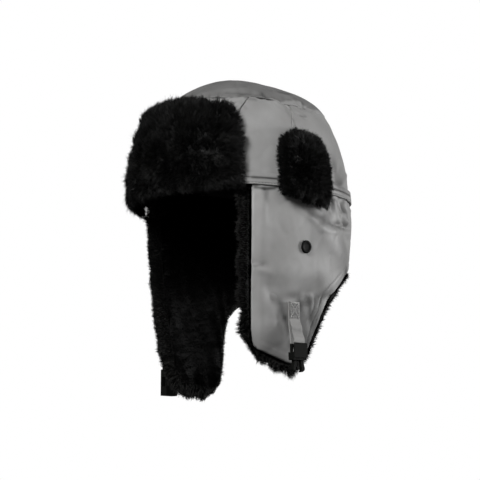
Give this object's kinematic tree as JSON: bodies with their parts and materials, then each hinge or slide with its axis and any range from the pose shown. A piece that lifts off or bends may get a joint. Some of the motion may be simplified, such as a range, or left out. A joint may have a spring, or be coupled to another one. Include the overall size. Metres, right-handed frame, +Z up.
{
  "type": "ushanka trapper hat",
  "caption": "Trapper hat in the ushanka form: grey cloth crown, black pile visor and lining, ear flaps joined by a neck flap, and chin straps with a side-release buckle.",
  "frame": {"origin": "centre of the head opening, level with the seam between crown and curtain", "axes": "+Z up, the face looks along -Y, the wearer's left is +X"},
  "size_m": [0.2013, 0.2206, 0.2979],
  "materials": {
    "shell_cloth": "satin woven polyester, grey",
    "lining_cloth": "quilted lining, black",
    "pile": "deep synthetic fur, black",
    "webbing": "woven nylon tape, grey",
    "buckle_plastic": "moulded, black",
    "snap_metal": "dark enamel"
  },
  "bodies": {
    "root": {"crown_front": "shell_cloth", "crown_left": "shell_cloth", "crown_right": "shell_cloth", "crown_back": "shell_cloth", "crown_top": "shell_cloth", "crown_band": "shell_cloth", "crown_lining": "lining_cloth", "curtain_shell": "shell_cloth", "curtain_pile": "pile", "visor_backing": "shell_cloth", "visor_pile": "pile", "brow_pile": "pile", "ear_tab_left": "pile", "snap_left": "snap_metal", "ear_tab_right": "pile", "snap_right": "snap_metal", "strap_left": "webbing", "buckle_left": "buckle_plastic", "strap_right": "webbing", "buckle_right": "buckle_plastic"}
  },
  "joints": []
}
